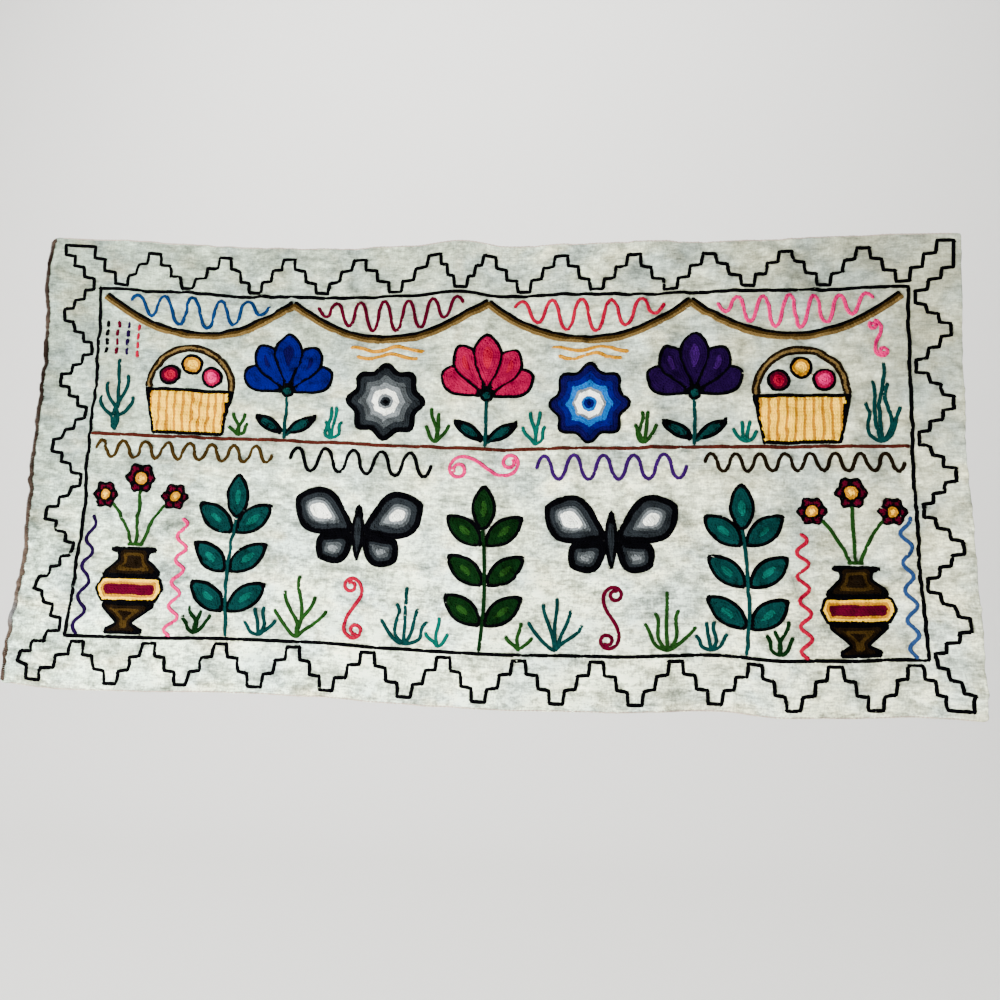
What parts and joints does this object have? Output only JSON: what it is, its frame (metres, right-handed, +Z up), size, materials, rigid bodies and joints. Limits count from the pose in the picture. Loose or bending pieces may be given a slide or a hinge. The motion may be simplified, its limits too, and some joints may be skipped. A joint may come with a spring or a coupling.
{
  "type": "embroidered wall hanging",
  "caption": "Wide wool cloth wall hanging with a stepped yarn border and a garden worked in raised chain stitch, held at its top edge.",
  "frame": {"origin": "middle of the straight line between the two top corners, in the plane of the wall behind the cloth", "axes": "+X to the right as seen from the front, +Y into the wall, +Z up; the embroidered front faces -Y"},
  "size_m": [1.1534, 0.0249, 0.5804],
  "materials": {
    "ground_cloth": "soft off-white wool, plain handweave with faint slubs, lightly fulled",
    "whipping_yarn": "variegated brown wool yarn, whipped over the edge",
    "black_yarn": "black wool yarn in chain stitch",
    "rust_yarn": "rust brown wool yarn in chain stitch",
    "umber_yarn": "golden brown and black wool yarn in rows of chain stitch",
    "teal_yarn": "teal wool yarn in rows of chain stitch",
    "green_yarn": "dark green wool yarn in rows of chain stitch",
    "brown_yarn": "dark brown wool yarn in rows of chain stitch",
    "crimson_yarn": "crimson wool yarn in rows of chain stitch",
    "grey_yarn": "black, grey and white wool yarn in rows of chain stitch",
    "blue_yarn": "royal blue wool yarn in rows of chain stitch",
    "magenta_yarn": "magenta wool yarn in rows of chain stitch",
    "purple_yarn": "deep purple wool yarn in rows of chain stitch",
    "silver_yarn": "grey to white wool yarn in rows of chain stitch",
    "sky_yarn": "navy, blue and white wool yarn in rows of chain stitch",
    "cream_yarn": "cream and golden wool yarn in rows of chain stitch",
    "orange_yarn": "orange-gold wool yarn in rows of chain stitch"
  },
  "bodies": {
    "root": {"ground_cloth": "ground_cloth", "edge_whipping": "whipping_yarn", "step_border": "black_yarn", "frame_line": "black_yarn", "ground_line": "rust_yarn", "garland": "umber_yarn", "branch_left": "teal_yarn", "branch_middle": "green_yarn", "branch_right": "teal_yarn", "urn_left": "brown_yarn", "urn_right": "brown_yarn", "posy_left": "crimson_yarn", "posy_right": "crimson_yarn", "butterfly_left": "grey_yarn", "butterfly_right": "grey_yarn", "blossom_blue": "blue_yarn", "blossom_magenta": "magenta_yarn", "blossom_purple": "purple_yarn", "stalk_blue": "teal_yarn", "stalk_magenta": "teal_yarn", "stalk_purple": "teal_yarn", "medallion_left": "silver_yarn", "medallion_right": "sky_yarn", "basket_left": "cream_yarn", "basket_right": "cream_yarn", "handle_left": "brown_yarn", "handle_right": "brown_yarn", "fruit_first_left": "crimson_yarn", "fruit_second_left": "orange_yarn", "fruit_third_left": "magenta_yarn", "fruit_first_right": "crimson_yarn", "fruit_second_right": "orange_yarn", "fruit_third_right": "magenta_yarn"}
  },
  "joints": []
}
